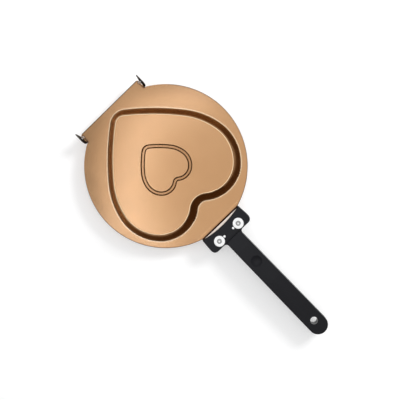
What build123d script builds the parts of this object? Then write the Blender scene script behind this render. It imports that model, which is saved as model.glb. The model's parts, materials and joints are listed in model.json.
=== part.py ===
from build123d import *
import math
import os

# Double-sided frying pan: two pressed steel halves with a heart-shaped dish, hinged at the rear,
# each with a black moulded handle. Millimetres. The pan lies closed on its lower dish: +Z is up,
# +X points along the handles, and the plane Y = 0 is the plane of symmetry. The origin is the
# centre of the round flange, on the face that the pan rests on.

# Pressed sheet
sheet = 0.8
disc_radius = 95.0
dish_height = 20.0
parting_gap = 0.3
wall_draft = 21.0
floor_edge_radius = 2.3
flange_edge_radius = 1.2

# Heart outline at the flange: tangent arcs from the cleft to the tip
cleft_x = 58.6
cleft_radius = 12.1
lobe_inner_radius = 43.1
lobe_outer_radius = 55.0
shoulder_radius = 89.2
tip_radius = 18.1
cleft_end_angle = -38.4
lobe_inner_end_angle = 44.6
lobe_outer_end_angle = 100.7
shoulder_end_angle = 128.8
flank_end_angle = 142.5

# Small heart bead pressed into the floor, a little to one side
bead_scale = 0.352
bead_side_shift = -1.4
bead_width = 4.8
bead_floor_width = 2.6
bead_depth = 1.1
bead_edge_radius = 0.4

# Handle tab, stepped away from the parting plane
tab_half_width = 28.3
tab_reach = 16.5
tab_step = 3.0
tab_step_run = 1.2
tab_corner_radius = 5.0
bend_radius = 0.5

# Hinge cheeks of the upper half and the strip between them
hinge_edge_x = -94.8
hinge_shoulder_x = -82.3
cheek_half_span = 46.0
cheek_height = 6.0
cheek_front_radius = 3.5
cheek_rear_radius = 3.0
cheek_front_gap = 0.3
pivot_height = 3.0
hinge_opening = 105.0
hinge_stop_gap = 0.25
strip_overhang = 0.24

# Hinge lugs of the lower half, leaning outward beside the cheeks
hinge_side_gap = 0.3
lug_lean = 13.0
lug_height = 8.5
lug_front_gap = 0.6
lug_front_radius = 5.2
lug_tip_x = -98.6
lug_tip_radius = 1.3
lug_heel_x = -93.0
lug_heel_radius = 1.5

# Hinge rivets
hinge_pin_radius = 1.1
hinge_shoulder_radius = 1.6
hinge_head_height = 0.6
running_clearance = 0.06
hinge_end_gap = 0.15

# Moulded handle: its places along X are measured from the edge of the disc
head_front_x = -3.7
head_front_sag = 3.4
head_front_half_width = 28.6
head_half_width = 29.5
head_shoulder_x = 18.0
head_straight_length = 9.0
head_thickness = 6.0
head_front_corner_radius = 0.8
head_corner_radius = 5.5
head_neck_radius = 4.0
head_edge_radius = 0.9
stem_root_half_width = 10.9
stem_end_half_width = 11.5
stem_end_x = 169.0
stem_root_rise = 1.2
stem_ramp_x = 36.0
stem_ramp_rise = 2.3
stem_crown_x = 85.0
stem_crown_rise = 2.6
stem_end_drop = 1.0
stem_edge_radius = 1.6
tab_end_clearance = 0.5
hang_hole_x = 151.0
hang_hole_radius = 4.4
hang_hole_chamfer = 0.6
thumb_dish_x = 56.0
thumb_dish_radius = 6.3
thumb_dish_depth = 1.6
core_start_x = 39.0
core_end_x = 133.0
core_half_width = 6.0
core_depth = 2.5

# Handle fasteners, in a row across the head
rivet_x = 10.5
rivet_spacing = 29.8
rivet_radius = 2.4
rivet_head_radius = 4.0
rivet_head_height = 1.4
rivet_clinch_radius = 2.8
rivet_clinch_height = 0.6
rivet_bore_radius = 1.3
rivet_bore_depth = 3.0
fastener_clearance = 0.1
washer_radius = 6.3
washer_thickness = 1.0
pin_spacing = 13.8
pin_radius = 1.4
pin_proud = 0.3

# Length of the tools that cut right through a piece
cut_through = 60.0

# Levels and places that follow from the sizes above, for a half whose dish points up from the
# parting plane at z = 0
flange_inner = parting_gap / 2
flange_outer = flange_inner + sheet
flange_middle = flange_inner + sheet / 2
tab_inner = flange_inner + tab_step
tab_outer = tab_inner + sheet
head_top = tab_outer + head_thickness
tab_end_x = disc_radius + tab_reach
stem_start_x = tab_reach + tab_end_clearance
head_wide_x = head_shoulder_x - head_straight_length
tab_chord_x = math.sqrt(disc_radius**2 - tab_half_width**2)
wall_land = flange_edge_radius + sheet
wall_reach = (dish_height - flange_outer) * math.tan(math.radians(wall_draft)) + floor_edge_radius
bend_middle_radius = bend_radius + sheet / 2
bead_land = bead_width / 2 + sheet

# The upper half turns about the pivot until the strip behind it nears the lower half's rear edge
opening = math.radians(hinge_opening)
rear_edge_from_pivot = (
    pivot_height - flange_inner - (pivot_height + flange_inner) * math.cos(opening) + hinge_stop_gap
) / math.sin(opening)
strip_length = rear_edge_from_pivot + strip_overhang
pivot_x = hinge_edge_x + strip_length
lower_edge_x = pivot_x + rear_edge_from_pivot
cheek_fold_y = cheek_half_span - sheet - bend_radius
lug_fold_y = cheek_half_span + hinge_side_gap


def heart_arcs():
    """Signed radii of the heart's tangent arcs, each with the angle of its outward normal at its end."""
    arcs = [
        (-cleft_radius, cleft_end_angle),
        (lobe_inner_radius, lobe_inner_end_angle),
        (lobe_outer_radius, lobe_outer_end_angle),
        (shoulder_radius, shoulder_end_angle),
        (None, flank_end_angle),
        (tip_radius, 180.0),
    ]
    # the long flank arc closes the outline on the plane of symmetry
    rise = 0.0
    start = 0.0
    for radius, end in arcs:
        step = math.sin(math.radians(end)) - math.sin(math.radians(start))
        if radius is None:
            flank_step = step
        else:
            rise += radius * step
        start = end
    return [(-rise / flank_step if radius is None else radius, end) for radius, end in arcs]


def heart_half(offset=0.0, scale=1.0):
    """Half of the heart's outline, grown by offset, as tangent arcs from the cleft to the tip."""
    x = scale * cleft_x + offset
    y = 0.0
    start = 0.0
    edges = []
    for radius, end in heart_arcs():
        reach = scale * radius + offset
        centre_x = x - reach * math.cos(math.radians(start))
        centre_y = y - reach * math.sin(math.radians(start))
        first = start if reach > 0 else start + 180.0
        edges.append(CenterArc((centre_x, centre_y), abs(reach), first, end - start))
        x = centre_x + reach * math.cos(math.radians(end))
        y = centre_y + reach * math.sin(math.radians(end))
        start = end
    return edges


def heart_face(offset=0.0, scale=1.0):
    half = heart_half(offset, scale)
    return Face(Wire(half + [edge.mirror(Plane.XZ) for edge in half]))


def swept_sheet(outer, inner, path_half):
    """Sheet between two lines in section at the cleft, swept along both halves of a heart."""
    ends = [Line(outer @ 0, inner @ 0), Line(outer @ 1, inner @ 1)]
    section = make_face(outer.edges() + inner.edges() + [end.edge() for end in ends])
    return both_sides(sweep(Plane.XZ * section, path=Wire(path_half)))


def wall_line(flange_level, floor_level, inset, flange_radius, floor_radius):
    """One surface of the dish wall in section at the cleft, from the flange over to the floor."""
    run = (floor_level - flange_level) * math.tan(math.radians(wall_draft))
    foot_x = cleft_x - inset
    points = [
        (cleft_x + wall_land, flange_level),
        (foot_x, flange_level),
        (foot_x - run, floor_level),
        (cleft_x - wall_reach, floor_level),
    ]
    return FilletPolyline(*points, radius=[flange_radius, floor_radius])


def dish_wall():
    """The drafted wall with its two rounded edges, as one sheet section swept along the heart."""
    draft = math.radians(wall_draft)
    inner_inset = sheet / math.cos(draft) - sheet * math.tan(draft)
    outer = wall_line(flange_outer, dish_height, 0.0, flange_edge_radius, floor_edge_radius)
    inner = wall_line(
        flange_inner, dish_height - sheet, inner_inset, flange_edge_radius + sheet, floor_edge_radius - sheet
    )
    return swept_sheet(outer, inner, heart_half())


def bead_line(level, corner_shift, edge_radius, foot_radius):
    """One surface of the small heart's groove in section at its cleft, from side to side."""
    middle = bead_scale * cleft_x
    half_top = bead_width / 2 + corner_shift
    half_foot = bead_floor_width / 2 + corner_shift
    points = [
        (middle - bead_land, level),
        (middle - half_top, level),
        (middle - half_foot, level - bead_depth),
        (middle + half_foot, level - bead_depth),
        (middle + half_top, level),
        (middle + bead_land, level),
    ]
    return FilletPolyline(*points, radius=[edge_radius, foot_radius, foot_radius, edge_radius])


def heart_bead():
    """The small heart's groove, as one sheet section swept along the small heart."""
    slope = math.atan2(bead_depth, (bead_width - bead_floor_width) / 2)
    corner_shift = sheet * math.tan(slope / 2)
    outer = bead_line(dish_height, 0.0, bead_edge_radius, bead_edge_radius)
    inner = bead_line(dish_height - sheet, corner_shift, bead_edge_radius, bead_edge_radius + sheet)
    return swept_sheet(outer, inner, heart_half(0.0, bead_scale))


def dish_floor():
    """The flat floor of the dish with the small heart pressed into it."""
    plate = heart_face(-wall_reach)
    band = heart_face(bead_land, bead_scale) - heart_face(-bead_land, bead_scale)
    floor = extrude(Pos(0, 0, dish_height - sheet) * (plate - Pos(0, bead_side_shift) * band), amount=sheet)
    return floor + Pos(0, bead_side_shift) * heart_bead()


def bent_sheet(plane, points, width):
    """Sheet along straight runs with rounded bends in a plane, as wide as given, centred on the plane."""
    path = plane * FilletPolyline(*points, radius=bend_middle_radius)
    start = Plane(origin=path @ 0, x_dir=plane.z_dir, z_dir=path % 0)
    return sweep(start * Rectangle(width, sheet), path=path)


def both_sides(shape):
    return shape + mirror(shape, about=Plane.XZ)


def pressed_blank():
    """A sheet with the handle tab's step, the heart dish and its bead pressed into it."""
    runs = [
        (-disc_radius - sheet, flange_middle),
        (tab_chord_x, flange_middle),
        (tab_chord_x + tab_step_run, flange_middle + tab_step),
        (tab_end_x + sheet, flange_middle + tab_step),
    ]
    blank = bent_sheet(Plane.XZ, runs, 2 * disc_radius + 2 * sheet)
    mouth = extrude(heart_face(wall_land), amount=2 * sheet, both=True)
    return blank - mouth + dish_wall() + dish_floor()


def plate_plan(rear_x, rear_half_width):
    """Round flange with the handle tab, and with the hinge strip as far as rear_x."""
    tab = Pos(tab_end_x / 2, 0) * Rectangle(tab_end_x, 2 * tab_half_width)
    tab = fillet(tab.vertices().sort_by(Axis.X)[-2:], tab_corner_radius)
    strip = Pos(rear_x / 2, 0) * Rectangle(-rear_x, 2 * rear_half_width)
    behind_shoulder = Pos(hinge_shoulder_x - disc_radius, 0) * Rectangle(2 * disc_radius, 2 * disc_radius)
    return Circle(disc_radius) - behind_shoulder + strip + tab


def trimmed_pan(blank, rear_x, rear_half_width):
    """The pressed blank cut to its outline, with its rivet and pin holes."""
    pan = blank & extrude(plate_plan(rear_x, rear_half_width), amount=cut_through, both=True)
    return pan - beside_disc(fastener_holes())


def beside_disc(shape):
    """Move a handle piece from its own origin out to the edge of the disc."""
    return Pos(disc_radius, 0, 0) * shape


def fastener_holes():
    """Cutters for the rivet and pin holes that line up in the tab and the handle."""
    rivets = upright(rivet_radius + fastener_clearance, 0, cut_through)
    pins = upright(pin_radius + fastener_clearance, 0, cut_through)
    return pair(rivets, rivet_spacing) + pair(pins, pin_spacing)


def side_blank(outline, start_y):
    """A side outline given depth, outward from start_y on the +Y side."""
    return extrude(Plane.XZ.offset(-start_y) * outline, amount=-cheek_half_span)


def cheek_outline():
    front_x = hinge_shoulder_x - cheek_front_gap
    front = Pos(front_x - cheek_front_radius, cheek_height - cheek_front_radius) * Circle(cheek_front_radius)
    boss = Pos(pivot_x, pivot_height) * Circle(cheek_rear_radius)
    base = Line((hinge_edge_x + sheet, flange_inner), (front_x, flange_inner))
    return make_hull(front.edges() + boss.edges() + base.edges())


def lug_outline():
    front_x = hinge_shoulder_x - lug_front_gap
    front = Pos(front_x - lug_front_radius, lug_height - lug_front_radius) * Circle(lug_front_radius)
    tip = Pos(lug_tip_x + lug_tip_radius, lug_height - lug_tip_radius) * Circle(lug_tip_radius)
    heel = Pos(lug_heel_x + lug_heel_radius, lug_heel_radius - flange_outer) * Circle(lug_heel_radius)
    foot = Line((lower_edge_x, -flange_outer), (front_x, -flange_outer))
    return make_hull(front.edges() + tip.edges() + heel.edges() + foot.edges())


def hinge_cheek():
    """Cheek folded up from the upper half's strip on the +Y side, square to the pivot."""
    length = hinge_shoulder_x - hinge_edge_x
    section = Plane.YZ.offset((hinge_shoulder_x + hinge_edge_x) / 2)
    runs = [
        (cheek_fold_y - sheet, flange_middle),
        (cheek_half_span - sheet / 2, flange_middle),
        (cheek_half_span - sheet / 2, cheek_height + sheet),
    ]
    cheek = bent_sheet(section, runs, length)
    cheek &= side_blank(cheek_outline(), cheek_fold_y - sheet)
    return cheek - length_of_pin(hinge_pin_radius + running_clearance, 0, cut_through)


def lug_plate():
    """Lug folded up from the lower half's rear corner on the +Y side, leaning outward."""
    length = hinge_shoulder_x - lug_tip_x
    section = Plane.YZ.offset((hinge_shoulder_x + lug_tip_x) / 2)
    lean = math.radians(lug_lean)
    corner_y = lug_fold_y + bend_middle_radius * math.tan((math.pi / 2 - lean) / 2)
    rise = lug_height + 2 * flange_outer
    runs = [
        (lug_fold_y - sheet, -flange_middle),
        (corner_y, -flange_middle),
        (corner_y + rise * math.tan(lean), rise - flange_middle),
    ]
    plate = bent_sheet(section, runs, length)
    return plate & side_blank(lug_outline(), lug_fold_y)


def hinge_lug():
    return lug_plate() - length_of_pin(hinge_pin_radius + fastener_clearance, 0, cut_through)


def length_of_pin(radius, first, last):
    """A round length on the hinge axis, from first to last along Y."""
    axis = Plane((pivot_x, first, pivot_height), z_dir=(0, 1, 0))
    return axis * Cylinder(radius, last - first, align=(Align.CENTER, Align.CENTER, Align.MIN))


def hinge_rivet():
    """Shouldered rivet: fixed in the lug, with the cheek free to turn on its inner end."""
    head_end = cheek_half_span - sheet - hinge_end_gap
    lean_shift = (pivot_height + hinge_shoulder_radius) * math.tan(math.radians(lug_lean))
    outer_end = lug_fold_y + bend_radius + sheet + lean_shift + hinge_head_height
    shank = length_of_pin(hinge_pin_radius, head_end, outer_end)
    head = length_of_pin(hinge_shoulder_radius, head_end - hinge_head_height, head_end)
    shoulder = length_of_pin(hinge_shoulder_radius, cheek_half_span + hinge_end_gap, outer_end)
    return shank + head + (shoulder - lug_plate())


def handle_head():
    """T-shaped head that lies on the tab: concave front, rounded corners, filleted into the stem."""
    front = ThreePointArc(
        (head_front_x, -head_front_half_width),
        (head_front_x + head_front_sag, 0),
        (head_front_x, head_front_half_width),
    )
    stub_x = head_shoulder_x + 2 * head_neck_radius
    rest = Polyline(
        (head_front_x, head_front_half_width),
        (head_wide_x, head_half_width),
        (head_shoulder_x, head_half_width),
        (head_shoulder_x, stem_root_half_width),
        (stub_x, stem_root_half_width),
        (stub_x, -stem_root_half_width),
        (head_shoulder_x, -stem_root_half_width),
        (head_shoulder_x, -head_half_width),
        (head_wide_x, -head_half_width),
        (head_front_x, -head_front_half_width),
    )
    plan = make_face(front.edges() + rest.edges())
    for x, y, radius in (
        (head_shoulder_x, head_half_width, head_corner_radius),
        (head_shoulder_x, stem_root_half_width, head_neck_radius),
        (head_front_x, head_front_half_width, head_front_corner_radius),
    ):
        corners = [v for v in plan.vertices() if math.hypot(v.X - x, abs(v.Y) - y) < fastener_clearance]
        plan = fillet(corners, radius)
    head = extrude(Pos(0, 0, tab_outer) * plan, amount=head_thickness)
    rim = head.edges().filter_by_position(Axis.Z, head_top, head_top)
    rim = [e for e in rim if e.center().X < stub_x - sheet]
    return fillet(rim, head_edge_radius)


def handle_stem():
    """Straight stem: level inside, crowned outside, with a rounded end."""
    end_x = stem_end_x - stem_end_half_width
    plan = make_face(
        Polyline(
            (end_x, stem_end_half_width),
            (stem_start_x, stem_root_half_width),
            (stem_start_x, -stem_root_half_width),
            (end_x, -stem_end_half_width),
        ).edges()
        + ThreePointArc((end_x, -stem_end_half_width), (stem_end_x, 0), (end_x, stem_end_half_width)).edges()
    )
    side = make_face(
        Polyline(
            (stem_start_x, flange_inner),
            (stem_start_x, head_top + stem_root_rise),
            (stem_ramp_x, head_top + stem_ramp_rise),
            (stem_crown_x, head_top + stem_crown_rise),
            (stem_end_x, head_top - stem_end_drop),
            (stem_end_x, flange_inner),
            close=True,
        )
    )
    stem = extrude(plan, amount=cut_through) & extrude(Plane.XZ * side, amount=cut_through, both=True)
    crown = [e for e in stem.edges() if e.center().Z > head_top - stem_end_drop - sheet]
    return fillet(crown, stem_edge_radius)


def handle():
    """One moulded handle with its rivet and pin holes, hanging hole, thumb dish and cored inner face."""
    body = handle_head() + handle_stem()
    hang_hole = Pos(hang_hole_x, 0) * Cylinder(hang_hole_radius, cut_through)
    body = body - fastener_holes() - hang_hole
    shortest_rim = 2 * math.pi * hang_hole_radius - hang_hole_chamfer
    rims = []
    for edge in body.edges():
        centre = edge.center(CenterOf.BOUNDING_BOX)
        if abs(centre.X - hang_hole_x) < hang_hole_chamfer and edge.length > shortest_rim:
            rims.append(edge)
    body = chamfer(rims, hang_hole_chamfer)
    dish_ball = (thumb_dish_radius**2 + thumb_dish_depth**2) / (2 * thumb_dish_depth)
    dish_bottom = head_top + stem_ramp_rise - thumb_dish_depth
    body -= Pos(thumb_dish_x, 0, dish_bottom + dish_ball) * Sphere(dish_ball)
    core_length = core_end_x - core_start_x
    core = Pos((core_start_x + core_end_x) / 2, 0) * SlotOverall(core_length, 2 * core_half_width)
    return body - extrude(Pos(0, 0, flange_inner) * core, amount=core_depth)


def upright(radius, base, top):
    align = (Align.CENTER, Align.CENTER, Align.MIN)
    return Pos(rivet_x, 0, base) * Cylinder(radius, top - base, align=align)


def rivet():
    """Tubular rivet: flat head inside the tab, clinched over the washer outside."""
    top = head_top + washer_thickness + rivet_clinch_height
    body = upright(rivet_radius, tab_inner, top)
    body += upright(rivet_head_radius, tab_inner - rivet_head_height, tab_inner)
    body += upright(rivet_clinch_radius, head_top + washer_thickness, top)
    return body - upright(rivet_bore_radius, top - rivet_bore_depth, top)


def washer():
    disc = upright(washer_radius, head_top, head_top + washer_thickness)
    return disc - upright(rivet_radius + fastener_clearance, head_top, head_top + washer_thickness)


def pair(shape, spacing):
    return both_sides(Pos(0, spacing / 2, 0) * shape)


def upper(shape):
    """Place a half's piece, made with its dish up from z = 0, as the upper half."""
    return Pos(0, 0, dish_height) * shape


def lower(shape):
    """Place the same piece turned over, as the lower half."""
    return Pos(0, 0, dish_height) * Rot(180, 0, 0) * shape


blank = pressed_blank()
upper_plate = trimmed_pan(blank, hinge_edge_x, cheek_fold_y)
lower_plate = trimmed_pan(blank, lower_edge_x, lug_fold_y)
grip = beside_disc(handle())
fasteners = {
    "handle_rivets": beside_disc(pair(rivet(), rivet_spacing)),
    "rivet_washers": beside_disc(pair(washer(), rivet_spacing)),
    "locating_pins": beside_disc(pair(upright(pin_radius, tab_inner, head_top + pin_proud), pin_spacing)),
}
parts = {
    "lower_pan": lower(lower_plate) + upper(both_sides(hinge_lug())),
    "upper_pan": upper(upper_plate + both_sides(hinge_cheek())),
    "lower_handle": lower(grip),
    "upper_handle": upper(grip),
    "hinge_rivets": upper(both_sides(hinge_rivet())),
}
for name, shape in fasteners.items():
    parts["lower_" + name] = lower(shape)
    parts["upper_" + name] = upper(shape)

os.makedirs("parts", exist_ok=True)
for name, shape in parts.items():
    export_step(shape, f"parts/{name}.step")
    box = shape.bounding_box()
    print(name, len(shape.solids()), [round(v, 2) for v in (*box.min, *box.max)])
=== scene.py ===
# %% [markdown]
# A double-sided frying pan: two round pressed steel halves, each with a heart-shaped dish, hinged at
# the rear and held by black moulded handles. The imported CAD model comes in first, as a fixed frame in
# metres. The fasteners modelled below ride on two bodies, the lower and the upper half.

import json
import math

import bpy
from mathutils import Matrix, Vector


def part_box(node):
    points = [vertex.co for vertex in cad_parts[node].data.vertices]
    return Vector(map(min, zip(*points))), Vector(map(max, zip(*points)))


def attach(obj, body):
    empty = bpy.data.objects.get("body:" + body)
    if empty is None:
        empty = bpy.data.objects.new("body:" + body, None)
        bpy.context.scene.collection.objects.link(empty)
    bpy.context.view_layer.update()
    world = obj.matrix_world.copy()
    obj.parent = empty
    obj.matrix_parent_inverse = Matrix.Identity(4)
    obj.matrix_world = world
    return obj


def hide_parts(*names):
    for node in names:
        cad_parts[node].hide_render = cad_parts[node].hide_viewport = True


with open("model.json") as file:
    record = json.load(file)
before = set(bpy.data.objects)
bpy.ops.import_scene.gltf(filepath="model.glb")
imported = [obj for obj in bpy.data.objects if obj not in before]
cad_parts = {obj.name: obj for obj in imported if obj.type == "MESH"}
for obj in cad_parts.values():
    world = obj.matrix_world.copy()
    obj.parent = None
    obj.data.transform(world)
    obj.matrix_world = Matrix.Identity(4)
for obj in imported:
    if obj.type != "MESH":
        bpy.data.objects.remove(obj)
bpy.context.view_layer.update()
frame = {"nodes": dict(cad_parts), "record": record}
scene = bpy.context.scene
scene.view_settings.view_transform = "Standard"
print("nodes:", sorted(frame["nodes"]))

# %% [markdown]
# The photograph is taken from almost straight above, from about a metre. The pan lies turned in it,
# with its handles pointing to the lower right. The camera stands at that place, looks at the point of
# the pan that lies in the middle of the picture, and is turned about its own axis by the pan's angle.

# %% Camera
parting_height = 0.020
camera_height = 1.000
camera_over = (0.070, 0.045)
middle_of_picture = (0.0558, 0.0015)
picture_width = 0.4634
pan_turn = math.radians(46.0)
picture_right = Vector((math.cos(pan_turn), math.sin(pan_turn), 0))


def add_camera():
    """A camera over the pan, looking down, with the handles towards the lower right."""
    place = Vector((*camera_over, parting_height + camera_height))
    target = Vector((*middle_of_picture, parting_height))
    back = (place - target).normalized()
    right = (picture_right - picture_right.dot(back) * back).normalized()
    up = back.cross(right)
    data = bpy.data.cameras.new("photograph_view")
    data.lens = data.sensor_width * (place - target).length / picture_width
    camera = bpy.data.objects.new("photograph_view", data)
    camera.matrix_world = Matrix.Translation(place) @ Matrix((right, up, back)).transposed().to_4x4()
    scene.collection.objects.link(camera)
    scene.camera = camera
    return camera


camera = add_camera()
print("lens:", round(camera.data.lens, 1), "mm")

# %% [markdown]
# Every finish below is a small recipe of shader nodes. Written out link by link, such a recipe is long
# and hard to read, so two helpers come first. The first one is a Signal: the output of a node, with
# which one can calculate. `1 - mask` or `grain * 0.1` adds the Math node that does it.

# %% Signals
class Signal:
    """The output of a node, with which one can calculate."""

    def __init__(self, finish, socket):
        self.finish = finish
        self.socket = socket

    def math(self, operation, first, second):
        """A Math node of the finish for two signals or numbers."""
        return self.finish.node("ShaderNodeMath", {"operation": operation}, {0: first, 1: second})

    def __add__(self, other):
        return self.math("ADD", self, other)

    def __radd__(self, other):
        return self.math("ADD", other, self)

    def __sub__(self, other):
        return self.math("SUBTRACT", self, other)

    def __rsub__(self, other):
        return self.math("SUBTRACT", other, self)

    def __mul__(self, other):
        return self.math("MULTIPLY", self, other)

    def __rmul__(self, other):
        return self.math("MULTIPLY", other, self)

    def larger(self, other):
        """The larger of the two at each point: where either of two masks is on."""
        return self.math("MAXIMUM", self, other)

    def size(self):
        """The signal without its sign."""
        return self.finish.node("ShaderNodeMath", {"operation": "ABSOLUTE"}, {0: self})


# %% [markdown]
# The second helper is a Finish: one material, and the place where its nodes are made. Its `node` method
# makes any node from its type, its settings and what goes into its sockets. Sockets are given by name,
# or by number where several share a name, as on a Mix node, whose colours are 6 and 7. The methods
# after it are the nodes that nearly every finish needs: a smooth step, a mix of two colours, noise, the
# openness of a place and a bump.

# %% Finishes under construction
opening_samples = 8


class Finish:
    """One material, and the nodes that are added to it."""

    def __init__(self, name):
        self.material = bpy.data.materials.new(name)
        self.material.use_nodes = True
        self.nodes = self.material.node_tree.nodes
        self.links = self.material.node_tree.links
        self.shader = self.nodes["Principled BSDF"]

    def feed(self, node, inputs):
        """Link each signal to its socket, and set each plain value on its socket."""
        for key, value in inputs.items():
            if isinstance(value, Signal):
                self.links.new(value.socket, node.inputs[key])
            else:
                node.inputs[key].default_value = value

    def node(self, kind, settings=None, inputs=None, output=0):
        """A new node, given as the signal of one of its outputs."""
        made = self.nodes.new(kind)
        for key, value in (settings or {}).items():
            setattr(made, key, value)
        self.feed(made, inputs or {})
        return Signal(self, made.outputs[output])

    def between(self, value, low, high):
        """0 below low, 1 above high, with a smooth step from one to the other."""
        return self.node(
            "ShaderNodeMapRange", {"interpolation_type": "SMOOTHSTEP"}, {0: value, 1: low, 2: high}
        )

    def mixed(self, share, first, second):
        """From the first colour to the second as share goes from 0 to 1."""
        return self.node("ShaderNodeMix", {"data_type": "RGBA"}, {0: share, 6: first, 7: second}, output=2)

    def noise(self, place, waves, detail=2.0):
        """Soft random patches from 0 to 1, about so many to the metre."""
        return self.node("ShaderNodeTexNoise", {}, {"Vector": place, "Scale": waves, "Detail": detail})

    def opening(self, reach):
        """The share of open sky over a point, counting only what stands within reach in metres."""
        settings = {"samples": opening_samples}
        return self.node("ShaderNodeAmbientOcclusion", settings, {"Distance": reach}, output="AO")

    def bumped(self, height, depth, below=None):
        """A bump of the given depth in metres for a height from 0 to 1, over another bump if there is one."""
        inputs = {"Height": height, "Distance": depth}
        if below is not None:
            inputs["Normal"] = below
        return self.node("ShaderNodeBump", {}, inputs)

    def finish(self, **inputs):
        """Feed the surface itself. An underscore stands for each space in a socket's name."""
        self.feed(self.shader, {key.replace("_", " "): value for key, value in inputs.items()})
        return self.material


def plain_place(finish):
    """The object's own coordinates in metres: they stay with the piece when it moves."""
    return finish.node("ShaderNodeTexCoord", output="Object")


# %% [markdown]
# The pan stands on a plain white table, one square so large that its edges lie outside the photograph.
# The lamps light it to a pale grey. Its paint glows a little for what looks at it, which is the camera
# and the metal, so the background turns as white as the photograph's. It lights nothing, and shadows
# stay on it.

# %% Table
table_size = 6.0
table_colour = (0.60, 0.60, 0.60, 1)
table_roughness = 0.8
table_glow = 0.45
black = (0, 0, 0, 1)
white = (1, 1, 1, 1)

bpy.ops.object.select_all(action="DESELECT")
bpy.ops.mesh.primitive_plane_add(size=table_size, location=(0, 0, 0))
table = bpy.context.object
table.name = "table"

paint = Finish("table_paint")
by_camera = paint.node("ShaderNodeLightPath", output="Is Camera Ray")
by_gloss = paint.node("ShaderNodeLightPath", output="Is Glossy Ray")
by_glass = paint.node("ShaderNodeLightPath", output="Is Transmission Ray")
seen = by_camera.larger(by_gloss).larger(by_glass)
paint.finish(
    Base_Color=table_colour,
    Roughness=table_roughness,
    Emission_Color=paint.mixed(seen, black, white),
    Emission_Strength=table_glow,
)
table.data.materials.append(paint.material)
print("table:", table_size, "m wide and long")

# %% [markdown]
# Coated sheet shows what is around it more than its own colour, so the lamps decide how the pan looks.
# All of them are soft boxes, which are placed as the picture shows them: so far to the right and so far
# up from the point under the camera. A wide, faint one hangs over the pan, and a smaller one a little
# lower fills the flat faces with light.

# %% Soft boxes overhead
picture_up = Vector((-math.sin(pan_turn), math.cos(pan_turn), 0))
box_height = 1.38
box_spacing = 0.02
wide_size = (1.8, 1.8)
wide_brightness = 0.18
near_place = (0.06, 0.01)
near_size = (0.88, 0.66)
near_brightness = 0.42


def over_picture(right, up, height):
    """A place given in metres to the right and up in the picture from under the camera, and in height."""
    return Vector((*camera_over, 0)) + right * picture_right + up * picture_up + Vector((0, 0, height))


def add_soft_box(name, place, size, brightness, slant=0.0, target=None):
    """A rectangular lamp, as bright as white paper at brightness 1. It faces down, or a target."""
    width, length = size
    data = bpy.data.lights.new(name, "AREA")
    data.shape = "RECTANGLE"
    data.size = width
    data.size_y = length
    data.energy = brightness * math.pi * width * length
    lamp = bpy.data.objects.new(name, data)
    turn = Matrix.Rotation(pan_turn + math.radians(slant), 4, "Z")
    if target is not None:
        turn = (target - place).to_track_quat("-Z", "Y").to_matrix().to_4x4()
    lamp.matrix_world = Matrix.Translation(place) @ turn
    scene.collection.objects.link(lamp)
    print(name, "at", [round(value, 2) for value in place], "with", round(data.energy, 2), "W")
    return lamp


wide_place = over_picture(0.0, 0.0, box_height + 2 * box_spacing)
add_soft_box("wide_box", wide_place, wide_size, wide_brightness)
add_soft_box("near_box", over_picture(*near_place, box_height + box_spacing), near_size, near_brightness)

# %% [markdown]
# Four narrow boxes, as cool as daylight, stand in an arc and leave the pale sheen on the left of the
# heart. Each row says how far to the right and up in the picture one of them stands, how long and how
# bright it is, and by how many degrees it is turned from the picture's upright.

# %% Sheen boxes
sheen_width = 0.05
sheen_arc = {
    "high_sheen_box": (-0.150, 0.215, 0.24, 1.5, -60.0),
    "mid_sheen_box": (-0.275, 0.045, 0.26, 1.9, -12.0),
    "low_sheen_box": (-0.250, -0.140, 0.24, 1.9, 25.0),
    "rim_sheen_box": (-0.400, -0.220, 0.24, 1.7, -30.0),
}
window_tint = (0.90, 1.04, 1.32)

for name, (right, up, length, brightness, slant) in sheen_arc.items():
    lamp = add_soft_box(name, over_picture(right, up, box_height), (sheen_width, length), brightness, slant)
    lamp.data.color = window_tint

# %% [markdown]
# Three bright strips stand round the boxes, to the left, to the right and at the top of the picture.
# Every rounded edge picks one of them up as a thin bright line. The right one is weaker, because the
# pan's right side lies darker in the photograph.

# %% Strips
strip_reach = 0.80
strip_size = (0.10, 1.00)
strip_brightness = 3.0
right_strip_rise = 0.1
right_strip_brightness = 1.0
top_strip_slant = 90.0

add_soft_box("left_strip", over_picture(-strip_reach, 0.0, box_height), strip_size, strip_brightness)
right_place = over_picture(strip_reach, right_strip_rise, box_height)
add_soft_box("right_strip", right_place, strip_size, right_strip_brightness)
top_place = over_picture(0.0, strip_reach, box_height)
add_soft_box("top_strip", top_place, strip_size, strip_brightness, top_strip_slant)

# %% [markdown]
# The shadow box stands beyond the upper right corner and throws the soft shadow to the lower left. The
# fill box hangs over all the others and brightens what is matt. Neither of these two is mirrored in the
# metal. The room beyond is dim.

# %% Shadow box, fill box and room
shadow_place = (1.00, 0.85, 1.22)
shadow_size = (0.6, 0.6)
shadow_brightness = 20.0
shadow_aim = Vector((0, 0, 0))
fill_brightness = 0.92
room_strength = 0.20

shadow_box = add_soft_box(
    "shadow_box", over_picture(*shadow_place), shadow_size, shadow_brightness, target=shadow_aim
)
fill_place = over_picture(0.0, 0.0, box_height + 3 * box_spacing)
fill_box = add_soft_box("fill_box", fill_place, wide_size, fill_brightness)
for lamp in (shadow_box, fill_box):
    lamp.visible_glossy = False

room = bpy.data.worlds.new("dim_room")
room.use_nodes = True
room.node_tree.nodes["Background"].inputs["Color"].default_value = white
room.node_tree.nodes["Background"].inputs["Strength"].default_value = room_strength
scene.world = room

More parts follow.
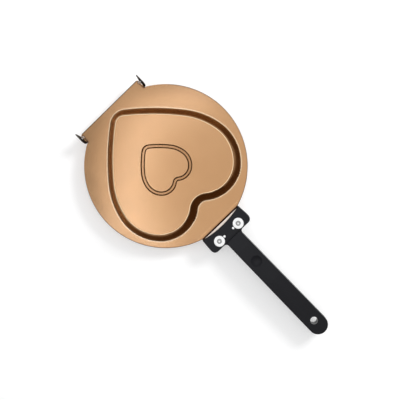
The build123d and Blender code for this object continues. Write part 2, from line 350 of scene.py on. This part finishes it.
# %% [markdown]
# Both halves wear the same coating. What it looks like depends on the place, so the places come first:
# the flat sheet, the walls and shoulders of the heart, the pressed lines of the small heart, the tab
# under the handle, the rim and the hinge lugs. Each pair below holds the two values between which a
# mask goes from 0 to 1. A slope is 1 where the sheet lies level and 0 where it stands upright. Radii
# are in metres from the middle of the disc, places are metres forward or to the rear of it, and sides
# are metres to either side. An opening is a share of open sky, which is small in a crease.

# %% Bounds of the zones
cut_slopes = (0.02, 0.12)
wall_slopes = (0.50, 0.92)
flat_slopes = (0.80, 0.985)
line_slopes = (0.90, 0.992)
shoulder_slopes = (0.90, 0.96)
level_slopes = (0.988, 0.9985)
small_heart_radii = (0.044, 0.048)
flange_radii = (0.088, 0.091)
rim_radii = (0.0938, 0.0948)
outside_radii = (0.0948, 0.0952)
step_places = (0.0865, 0.0875)
tab_places = (0.0903, 0.0909)
ear_places = (0.060, 0.070)
rear_places = (0.0938, 0.0943)
lug_places = (0.078, 0.080)
lug_sides = (0.0462, 0.0466)
crease_reach = 0.0025
crease_openings = (0.55, 0.97)
line_openings = (0.80, 0.97)
ring_openings = (0.50, 0.66)
open_openings = (0.90, 0.98)
rim_shade_share = 0.6
print("crease reach:", round(crease_reach * 1000, 1), "mm")

# %% [markdown]
# The zones themselves are masks. A point is first measured: where it lies, how level the sheet is
# there, and how open. The masks are then worked out from these measures, and multiplied where one zone
# has to end at another. A wall is steep sheet in the dish, a shoulder is the last turn before the flat,
# and a ring of half-open flat sheet runs round the foot of each wall.

# %% Zones of a pressing
class Zones:
    """Masks from 0 to 1 for the zones of a pressed half, and what they are worked out from."""

    def __init__(self, coat):
        self.measure(coat)
        self.mark_lines(coat)
        self.mark_dish(coat)
        self.mark_edges(coat)

    def measure(self, coat):
        """Where a point lies, how level the sheet is and how open."""
        self.place = plain_place(coat)
        without_height = {0: self.place, 1: (1, 1, 0)}
        level_place = coat.node("ShaderNodeVectorMath", {"operation": "MULTIPLY"}, without_height)
        normal = coat.node("ShaderNodeTexCoord", output="Normal")
        self.slope = coat.node("ShaderNodeSeparateXYZ", {}, {0: normal}, output=2).size()
        self.sideways = coat.node("ShaderNodeSeparateXYZ", {}, {0: self.place}, output=1).size()
        self.opening = coat.opening(crease_reach)
        self.forward = coat.node("ShaderNodeSeparateXYZ", {}, {0: self.place})
        self.rearward = self.forward * -1.0
        self.radius = coat.node(
            "ShaderNodeVectorMath", {"operation": "LENGTH"}, {0: level_place}, output="Value"
        )

    def mark_lines(self, coat):
        """Creases, flat sheet, the tab, and the lines pressed by the small heart and the step."""
        self.crease = 1 - coat.between(self.opening, *crease_openings)
        self.flat = coat.between(self.slope, *flat_slopes)
        self.past_step = coat.between(self.forward, *step_places)
        small_heart = 1 - coat.between(self.radius, *small_heart_radii)
        self.narrow = small_heart.larger(self.past_step)
        # Beside the pressed lines of the small heart the painted shade reaches a little further.
        beside_line = (1 - coat.between(self.opening, *line_openings)) * small_heart
        self.lines = ((1 - coat.between(self.slope, *line_slopes)) * self.narrow).larger(beside_line)
        self.tab = coat.between(self.forward, *tab_places) * self.flat

    def mark_dish(self, coat):
        """The walls and shoulders of the large heart, and the ring round the foot of its walls."""
        dish = (1 - self.narrow) * (1 - coat.between(self.radius, *flange_radii))
        self.wall = (1 - coat.between(self.slope, *wall_slopes)) * dish
        shoulder = coat.between(self.slope, *shoulder_slopes) * (1 - coat.between(self.slope, *level_slopes))
        self.shoulder = shoulder * dish
        # The ring is where a cream painted highlight goes, round the foot of each wall.
        ring = coat.between(self.opening, *ring_openings) * (1 - coat.between(self.opening, *open_openings))
        self.ring = ring * self.flat * dish

    def mark_edges(self, coat):
        """Bare metal on cut faces, the rim and the rear, which also carry painted shade, and the hinge lugs.
        """
        beyond_rim = coat.between(self.radius, *rim_radii)
        cut_face = (1 - coat.between(self.slope, *cut_slopes)) * beyond_rim
        round_rim = beyond_rim * (1 - self.tab) * (1 - coat.between(self.rearward, *ear_places))
        rear_edge = coat.between(self.rearward, *rear_places)
        self.bare = cut_face.larger(round_rim * rim_shade_share).larger(rear_edge)
        off_the_disc = (1 - self.flat).larger(coat.between(self.radius, *outside_radii))
        lug = coat.between(self.sideways, *lug_sides) * coat.between(self.rearward, *lug_places)
        self.lug = lug * off_the_disc


# %% [markdown]
# The coating is a clear glaze full of fine copper flakes, sprayed on the sheet and baked before it is
# pressed. The flakes give the warm metal colour, and the glaze on top adds the pale sheen. Flakes and
# spray leave it slightly mottled. Light and shade are then painted into the colour, zone by zone:
# painted shade in creases, in the pressed lines and on the walls, most of all towards the handle, and
# nearly black at the foot of each wall; a cream painted highlight over each shoulder and round the foot
# of each wall, and a pale painted highlight on the tab; painted shade on the lugs, a little lighter at
# their tips. Cut edges show bare steel, and the rim and the rear edge too, all painted near black as
# shade. The values after the colours say how strongly each change shows.

# %% Copper colour
copper_dark = (0.63, 0.322, 0.128, 1)
copper_deep = (0.70, 0.370, 0.152, 1)
copper_pale = (0.78, 0.438, 0.196, 1)
# From here on: painted shade, painted highlights, and bare steel painted near black as shade.
crease_shade_brown = (0.16, 0.055, 0.016, 1)
line_shade_brown = (0.150, 0.050, 0.012, 1)
wall_shade_brown = (0.15, 0.062, 0.022, 1)
foot_shade_black = (0.020, 0.008, 0.004, 1)
tab_highlight_pale = (0.98, 0.84, 0.72, 1)
edge_highlight_cream = (1.0, 0.73, 0.47, 1)
bare_edge_shade = (0.06, 0.045, 0.035, 1)
lug_shade_dark = (0.012, 0.007, 0.005, 1)
lug_tip_shade_grey = (0.055, 0.050, 0.042, 1)
wall_shade_places = (-0.025, 0.040)
lug_tip_places = (0.0915, 0.0945)
cloud_waves = 9.0
flake_waves = 2600.0
flake_detail = 1.0
noise_middle = 0.5
mottle_contrast = 0.5
flake_contrast = 0.35
# How strongly each painted shade and painted highlight shows.
crease_shade_share = 0.95
walls_shade_share = 0.45
handle_side_shade_added = 0.45
foot_shade_share = 0.8
ring_highlight_share = 0.85


def copper_colour(coat, zones, mottle):
    """The colour of the sprayed sheet, with light and shade painted in zone by zone."""
    cloud = coat.noise(zones.place, cloud_waves)
    flakes = coat.noise(zones.place, flake_waves, flake_detail)
    speckle = (mottle - noise_middle) * mottle_contrast + (flakes - noise_middle) * flake_contrast
    colour = coat.mixed(speckle + noise_middle, copper_dark, coat.mixed(cloud, copper_deep, copper_pale))
    # Painted shade in every crease.
    colour = coat.mixed(zones.crease * crease_shade_share, colour, crease_shade_brown)
    # Painted shade on the pressed lines of the small heart and on the step.
    colour = coat.mixed(zones.lines, colour, line_shade_brown)
    # A pale painted highlight on the tab.
    colour = coat.mixed(zones.tab, colour, tab_highlight_pale)
    # Painted shade on the walls, stronger towards the handle.
    towards_handle = coat.between(zones.forward, *wall_shade_places)
    wall_shade_amount = zones.wall * (towards_handle * handle_side_shade_added + walls_shade_share)
    colour = coat.mixed(wall_shade_amount, colour, wall_shade_brown)
    # Nearly black painted shade at the foot of each wall, where it meets a crease.
    colour = coat.mixed(zones.wall * zones.crease * foot_shade_share, colour, foot_shade_black)
    # A cream painted highlight on the shoulders and round the foot of each wall.
    colour = coat.mixed(zones.shoulder.larger(zones.ring * ring_highlight_share), colour, edge_highlight_cream)
    # Bare steel on cut faces, the rim and the rear edge, painted near black as shade.
    colour = coat.mixed(zones.bare, colour, bare_edge_shade)
    # Painted shade on the lugs, a little lighter at their tips.
    tip = coat.between(zones.rearward, *lug_tip_places)
    return coat.mixed(zones.lug, colour, coat.mixed(tip, lug_shade_dark, lug_tip_shade_grey))


# %% [markdown]
# Sheet that was pressed is never quite flat at its rim, where it turns down a little: a bump that
# deepens with the square of the distance from the flat. Spraying leaves a fine orange peel. The glaze
# is left off where bare metal shows, on the lugs, on the pressed lines and on the shoulders, and it is
# thin on the walls, so its sheen does not cover the painted shade and painted highlights there. Copper
# keeps its warm colour even where one looks along it.

# %% Copper coating
turn_start = 0.078
turn_width = 0.0165
turn_depth = 0.5
one_metre = 1.0
mottle_waves = 55.0
mottle_detail = 3.0
peel_waves = 420.0
peel_depth = 0.00002
wall_thinning = 0.7
copper_roughness = 0.18
copper_roughness_spread = 0.07
bare_roughness_added = 0.5
grazing_tint = (0.88, 0.66, 0.47, 1)
glaze_weight = 0.65
glaze_roughness = 0.16
glaze_index = 1.8


def rim_turn(coat, zones):
    """A bump for the rim that turns down: squared over the width of the turn, and straight beyond it."""
    past_start = zones.radius - turn_start
    turning = coat.node("ShaderNodeClamp", {}, {"Value": past_start, "Min": 0.0, "Max": turn_width})
    drop = turning * (past_start * 2.0 - turning) * (1 - zones.past_step)
    return coat.bumped(drop * -turn_depth, one_metre)


def copper_coating():
    """The finish of both pressed halves."""
    coat = Finish("copper_coating")
    zones = Zones(coat)
    mottle = coat.noise(zones.place, mottle_waves, mottle_detail)
    unglazed = zones.bare.larger(zones.lug)
    worn = zones.lines.larger(zones.wall * wall_thinning)
    roughness = copper_roughness + (mottle - noise_middle) * copper_roughness_spread
    peel = coat.noise(zones.place, peel_waves)
    return coat.finish(
        Base_Color=copper_colour(coat, zones, mottle),
        # Shoulders and lugs are matt, so the cream painted highlight and the lugs' painted shade keep their
        # tone.
        Metallic=(1 - zones.shoulder) * (1 - zones.lug),
        Roughness=roughness + unglazed * bare_roughness_added,
        Normal=coat.bumped(peel, peel_depth, rim_turn(coat, zones)),
        Specular_Tint=grazing_tint,
        Coat_Weight=(1 - unglazed.larger(zones.shoulder).larger(worn)) * glaze_weight,
        Coat_Roughness=glaze_roughness,
        Coat_IOR=glaze_index,
    )


# %% [markdown]
# The handles are moulded in black heat-proof plastic. The mould was finely blasted, which leaves a
# matt skin with a very fine grain, and the plastic flowed along the handle, which leaves faint streaks.
# In its recess and corners it is painted full black, as painted shade.

# %% Black plastic
plastic_deep = (0.0070, 0.0072, 0.0090, 1)
plastic_pale = (0.0110, 0.0112, 0.0138, 1)
plastic_reach = 0.004
plastic_openings = (0.45, 0.98)
plastic_roughness = 0.32
plastic_roughness_spread = 0.12
plastic_gloss = 0.25
flow_stretch = (12.0, 160.0, 160.0)
flow_waves = 1.0
flow_detail = 3.0
grain_waves = 1500.0
grain_depth = 0.00006


def black_plastic():
    """The finish of both handles."""
    skin = Finish("black_plastic")
    place = plain_place(skin)
    grain = skin.noise(place, grain_waves)
    stretched = skin.node("ShaderNodeMapping", {}, {"Vector": place, "Scale": flow_stretch})
    flow = skin.noise(stretched, flow_waves, flow_detail)
    colour = skin.mixed(flow, plastic_deep, plastic_pale)
    # Painted shade: where the plastic is enclosed, its colour goes to black.
    open_face = skin.between(skin.opening(plastic_reach), *plastic_openings)
    return skin.finish(
        Base_Color=skin.mixed(open_face, black, colour),
        Roughness=plastic_roughness + (flow - noise_middle) * plastic_roughness_spread,
        Specular_IOR_Level=plastic_gloss,
        Normal=skin.bumped(grain, grain_depth),
    )


# %% [markdown]
# Rivets, washers and pins are zinc-plated steel: almost white, with very fine marks and a soft gloss.
# Where a rivet's end is rolled over, the plating is crushed to a darker grey. Every crease is darkened
# to a grey as painted shade, and on the hinge rivets only a little.

# %% Bright steel
steel_deep = (0.93, 0.93, 0.92, 1)
steel_pale = (0.99, 0.99, 0.99, 1)
crushed_deep = (0.30, 0.30, 0.30, 1)
crushed_pale = (0.42, 0.42, 0.41, 1)
steel_crease_shade = 0.16
hinge_crease_shade = 0.8
steel_reach = 0.0010
steel_openings = (0.45, 0.95)
steel_metallic = 0.3
steel_roughness = 0.36
steel_roughness_spread = 0.1
steel_waves = 300.0
mark_waves = 2500.0
mark_detail = 1.0
mark_depth = 0.000004


def plated_steel(name, deep, pale, crease_shade_grey=steel_crease_shade):
    """A finish for fasteners: two greys in soft patches, and a darker grey as painted shade in their creases.
    """
    plated = Finish(name)
    place = plain_place(plated)
    cloud = plated.noise(place, steel_waves)
    colour = plated.mixed(cloud, deep, pale)
    # Painted shade: creases darken towards the given grey.
    open_face = plated.between(plated.opening(steel_reach), *steel_openings)
    marks = plated.noise(place, mark_waves, mark_detail)
    return plated.finish(
        Base_Color=plated.mixed(open_face, (crease_shade_grey, crease_shade_grey, crease_shade_grey, 1), colour),
        Metallic=steel_metallic,
        Roughness=steel_roughness + (cloud - noise_middle) * steel_roughness_spread,
        Normal=plated.bumped(marks, mark_depth),
    )


# %% [markdown]
# The record names a material slot for each node: the coating, the plastic or the steel. Its finish goes
# into the slots of the node's object, so the pans and the handles keep the CAD's own meshes.

# %% Give every piece its finish
finishes = {
    "copper_coating": copper_coating(),
    "black_plastic": black_plastic(),
    "bright_steel": plated_steel("bright_steel", steel_deep, steel_pale),
}
worked_steel = plated_steel("worked_steel", crushed_deep, crushed_pale)
turned_steel = plated_steel("turned_steel", steel_deep, steel_pale, crease_shade_grey=hinge_crease_shade)
slots = {entry["node"]: entry["material_slot"] for entry in frame["record"]["subparts"]}
for node, piece in frame["nodes"].items():
    for slot in piece.material_slots:
        slot.material = finishes[slots[node]]
    print(node, "wears", slots[node])

# %% [markdown]
# The fasteners are small but bright, so they are modelled again with the roundings that stamping,
# rolling and turning leave. They are all round pieces. Each starts as a circle. Its rim is extruded
# from one point of an outline to the next and resized there, like clay drawn up on a wheel, and then
# the edges are bevelled. An outline that ends near the axis is closed by a small flat there.

# %% Round pieces
round_sides = 64
merge_distance = 1e-6
bevel_steps = 3
bevel_from = math.radians(30)
smooth_to = math.radians(40)


def turned_piece(name, outline, edge, ring=False):
    """A round piece about the upright axis through 0, from (radius, height) points and an edge rounding."""
    radius, height = outline[0]
    bpy.ops.object.select_all(action="DESELECT")
    bpy.ops.mesh.primitive_circle_add(vertices=round_sides, radius=radius, location=(0, 0, height))
    bpy.ops.object.transform_apply(location=True, rotation=True, scale=True)
    bpy.ops.object.mode_set(mode="EDIT")
    bpy.ops.mesh.select_all(action="SELECT")
    for next_radius, next_height in outline[1:]:
        bpy.ops.mesh.extrude_region_move(TRANSFORM_OT_translate={"value": (0, 0, next_height - height)})
        growth = next_radius / radius
        bpy.ops.transform.resize(value=(growth, growth, 1), center_override=(0, 0, next_height))
        radius, height = next_radius, next_height
    bpy.ops.mesh.select_all(action="SELECT")
    bpy.ops.mesh.remove_doubles(threshold=merge_distance)
    if not ring:
        bpy.ops.mesh.fill_holes(sides=0)
    bpy.ops.mesh.select_all(action="SELECT")
    bpy.ops.mesh.normals_make_consistent(inside=False)
    bpy.ops.object.mode_set(mode="OBJECT")
    piece = bpy.context.object
    piece.name = name
    rounding = piece.modifiers.new("rounding", "BEVEL")
    rounding.width = edge
    rounding.segments = bevel_steps
    rounding.limit_method = "ANGLE"
    rounding.angle_limit = bevel_from
    bpy.ops.object.modifier_apply(modifier="rounding")
    bpy.ops.object.shade_smooth_by_angle(angle=smooth_to)
    print(name, len(piece.data.polygons), "faces")
    return piece


def arc(radius, reach, base, rise, start, end, steps):
    """Points on a flat arc about (radius, base), from one angle in degrees to another."""
    angles = [math.radians(start + (end - start) * step / steps) for step in range(steps + 1)]
    return [(radius + reach * math.cos(angle), base + rise * math.sin(angle)) for angle in angles]


# %% [markdown]
# Each fastener is modelled once, as a pattern that stands upright in the middle, and copied to its
# places. A copy has a mesh of its own. It rides on one half of the pan and stands for a node of the CAD
# model, which is hidden. A copy without a finish of its own takes the node's slot. The pattern is taken
# away once its copies are made.

# %% Copies in their places
def put(pattern, name, place, turn, body, node):
    """Copy a pattern, turn the copy and move it to its place on a body, where it replaces a node."""
    bpy.ops.object.select_all(action="DESELECT")
    pattern.select_set(True)
    bpy.context.view_layer.objects.active = pattern
    bpy.ops.object.duplicate(linked=False)
    copy = bpy.context.object
    copy.name = name
    copy.location = place
    copy.rotation_euler = turn
    bpy.ops.object.transform_apply(location=True, rotation=True, scale=True)
    if not copy.data.materials:
        copy.data.materials.append(finishes[slots[node]])
    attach(copy, body)
    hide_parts(node)
    print(name, "rides on", body)


def remove(pattern):
    """Take away a pattern once its copies are made."""
    bpy.data.objects.remove(pattern, do_unlink=True)


# %% [markdown]
# A tubular rivet holds each side of a handle head. Its flat, slightly domed head lies inside the tab,
# its shank goes through tab and plastic, and the hollow end is rolled outward over the washer. The
# rolled lip is what shows as a fine ring. The bore ends in the cone that the drill left. The profile of
# the head is given in shares of its radius and height. The plating in the bore stays bright.

# %% Handle rivets
low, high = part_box("upper_handle_rivets")
rivet_low = low.z - parting_height
rivet_high = high.z - parting_height
rivet_head = (high.x - low.x) / 2
row_x = (high.x + low.x) / 2
row_half = (high.y - low.y) / 2 - rivet_head
head_height = 0.0014
head_profile = ((0.15, 0.0), (0.70, 0.08), (0.92, 0.28), (1.0, 0.55), (1.0, 1.0))
shank_radius = 0.0024
lip_radius = 0.0028
lip_height = 0.0006
lip_steps = 10
bore_radius = 0.0013
bore_depth = 0.0010
cone_start = 0.75
cone_tip = 0.1
just_inside = 0.98
just_below = 1.1
rivet_edge = 0.00012
lip_middle = (lip_radius + bore_radius) / 2
lip_reach = (lip_radius - bore_radius) / 2
half_turn = 180
quarter_turn = 90

rivet = turned_piece(
    "rivet",
    [(rivet_head * out, rivet_low + head_height * up) for out, up in head_profile]
    + [(shank_radius, rivet_low + head_height), (shank_radius, rivet_high - lip_height)]
    + arc(lip_middle, lip_reach, rivet_high - lip_height, lip_height, 0, half_turn, lip_steps)
    + [
        (bore_radius, rivet_high - bore_depth * cone_start),
        (bore_radius * cone_tip, rivet_high - bore_depth),
    ],
    rivet_edge,
)
rivet.data.materials.append(worked_steel)
rivet.data.materials.append(finishes["bright_steel"])
for face in rivet.data.polygons:
    near_end = face.center.z > rivet_high - bore_depth * just_below
    in_bore = near_end and face.center.xy.length < bore_radius * just_inside
    face.material_index = 1 if in_bore else 0

# %% [markdown]
# The washers are stamped from sheet. The punch draws the edge round on the face it enters, and leaves
# the other face sharp. The hole has a small countersink for the rolled lip of the rivet.

# %% Washers
low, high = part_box("upper_rivet_washers")
washer_low = low.z - parting_height
washer_high = high.z - parting_height
washer_radius = (high.x - low.x) / 2
washer_draw = 0.00035
washer_draw_steps = 5
washer_hole = 0.0025
washer_sink = 0.00015
fine_edge = 0.00005
draw_radius = washer_radius - washer_draw
draw_height = washer_high - washer_draw

washer = turned_piece(
    "washer",
    [(washer_hole, washer_low), (washer_radius, washer_low)]
    + arc(draw_radius, washer_draw, draw_height, washer_draw, 0, quarter_turn, washer_draw_steps)
    + [
        (washer_hole + washer_sink, washer_high),
        (washer_hole, washer_high - washer_sink),
        (washer_hole, washer_low),
    ],
    fine_edge,
    ring=True,
)

# %% [markdown]
# Beside each washer the end of a locating pin stands just proud of the plastic. Its end is turned to a
# low dome, so that it finds its hole, and its foot is narrowed a little. The arc of a dome stops a few
# degrees short of the axis, where a small flat closes it.

# %% Locating pins
low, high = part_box("upper_locating_pins")
pin_low = low.z - parting_height
pin_high = high.z - parting_height
pin_radius = (high.x - low.x) / 2
pin_x = (high.x + low.x) / 2
pin_half = (high.y - low.y) / 2 - pin_radius
pin_foot = pin_radius * 0.85
pin_dome = 0.00025
pin_dome_steps = 8
dome_end = 84
closing_share = 0.1

pin = turned_piece(
    "pin",
    [(pin_radius * closing_share, pin_low), (pin_foot, pin_low), (pin_radius, pin_low + pin_dome)]
    + arc(0, pin_radius, pin_high - pin_dome, pin_dome, 0, dome_end, pin_dome_steps),
    fine_edge,
)

# %% [markdown]
# Every fastener comes in fours: left and right, on the upper half and, turned over, on the lower one.

# %% Place the fasteners
for half, turn_over in (("upper", 0.0), ("lower", math.pi)):
    for side, name in ((1, "left"), (-1, "right")):
        row_place = (row_x, side * row_half, parting_height)
        pin_place = (pin_x, side * pin_half, parting_height)
        turn = (turn_over, 0, 0)
        put(rivet, f"{half}_{name}_rivet", row_place, turn, half, f"{half}_handle_rivets")
        put(washer, f"{half}_{name}_washer", row_place, turn, half, f"{half}_rivet_washers")
        put(pin, f"{half}_{name}_pin", pin_place, turn, half, f"{half}_locating_pins")
for pattern in (rivet, washer, pin):
    remove(pattern)

# %% [markdown]
# A shouldered rivet joins each lug to its cheek. Its thin middle is the pivot. A thicker collar keeps
# lug and cheek apart, and both ends are set to low domes. The lug leans a little, so the collar and the
# outer end are let into it, and no gap shows. The rivet is turned about an axis that lies across the
# pan, so it is made upright and then laid down.

# %% Hinge rivets
low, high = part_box("hinge_rivets")
hinge_x = (high.x + low.x) / 2
hinge_z = (high.z + low.z) / 2
collar = (high.x - low.x) / 2
outer_end = high.y
pivot_radius = 0.0011
sheet = 0.0008
cheek_outside = 0.046
end_gap = 0.00015
set_height = 0.0006
dome = 0.00025
dome_steps = 6
inner_dome_start = -78
inner_end = cheek_outside - sheet - end_gap - set_height
embedded = 0.00040

hinge_rivet = turned_piece(
    "hinge_rivet",
    [(collar * closing_share, inner_end)]
    + arc(0, collar, inner_end + dome, dome, inner_dome_start, 0, dome_steps)
    + [
        (collar, inner_end + set_height),
        (pivot_radius, inner_end + set_height),
        (pivot_radius, cheek_outside + end_gap),
        (collar, cheek_outside + end_gap),
        (collar, cheek_outside + end_gap + embedded),
        (pivot_radius, cheek_outside + end_gap + embedded),
        (pivot_radius, outer_end - set_height - embedded),
        (collar, outer_end - set_height - embedded),
    ]
    + arc(0, collar, outer_end - dome, dome, 0, dome_end, dome_steps),
    fine_edge,
)
hinge_rivet.data.materials.append(turned_steel)
for side, name in ((1, "left"), (-1, "right")):
    laid_down = (-side * math.pi / 2, 0, 0)
    put(hinge_rivet, f"{name}_hinge_rivet", (hinge_x, 0, hinge_z), laid_down, "lower", "hinge_rivets")
remove(hinge_rivet)
